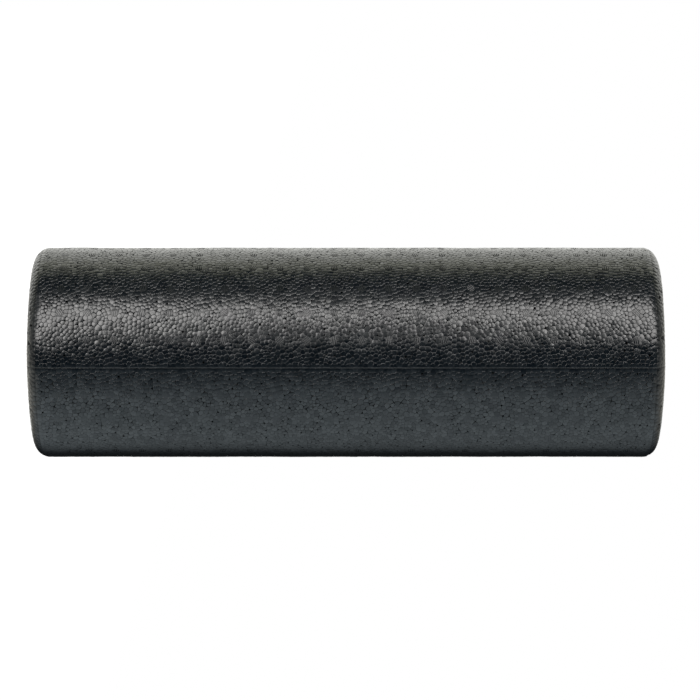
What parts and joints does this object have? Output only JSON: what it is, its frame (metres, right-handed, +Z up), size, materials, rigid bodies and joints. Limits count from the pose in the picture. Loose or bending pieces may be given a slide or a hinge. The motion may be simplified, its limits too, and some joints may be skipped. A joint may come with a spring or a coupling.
{
  "type": "foam roller",
  "caption": "Round bead-foam massage roller: two half-round mouldings bonded on a flat joint, flat ends with rounded edges.",
  "frame": {"origin": "centre of the roller, on its axis at mid length", "axes": "+X along the roller's axis, +Z up and square to the joint plane between the two halves, +Y to the back"},
  "size_m": [0.45, 0.1524, 0.152],
  "materials": {
    "bead_foam": "black moulded bead foam, satin skin with bead pattern and fine voids",
    "bond_film": "dark satin plastic film, seen only as a thin line"
  },
  "bodies": {
    "root": {"upper_half": "bead_foam", "lower_half": "bead_foam", "bond_film": "bond_film"}
  },
  "joints": []
}
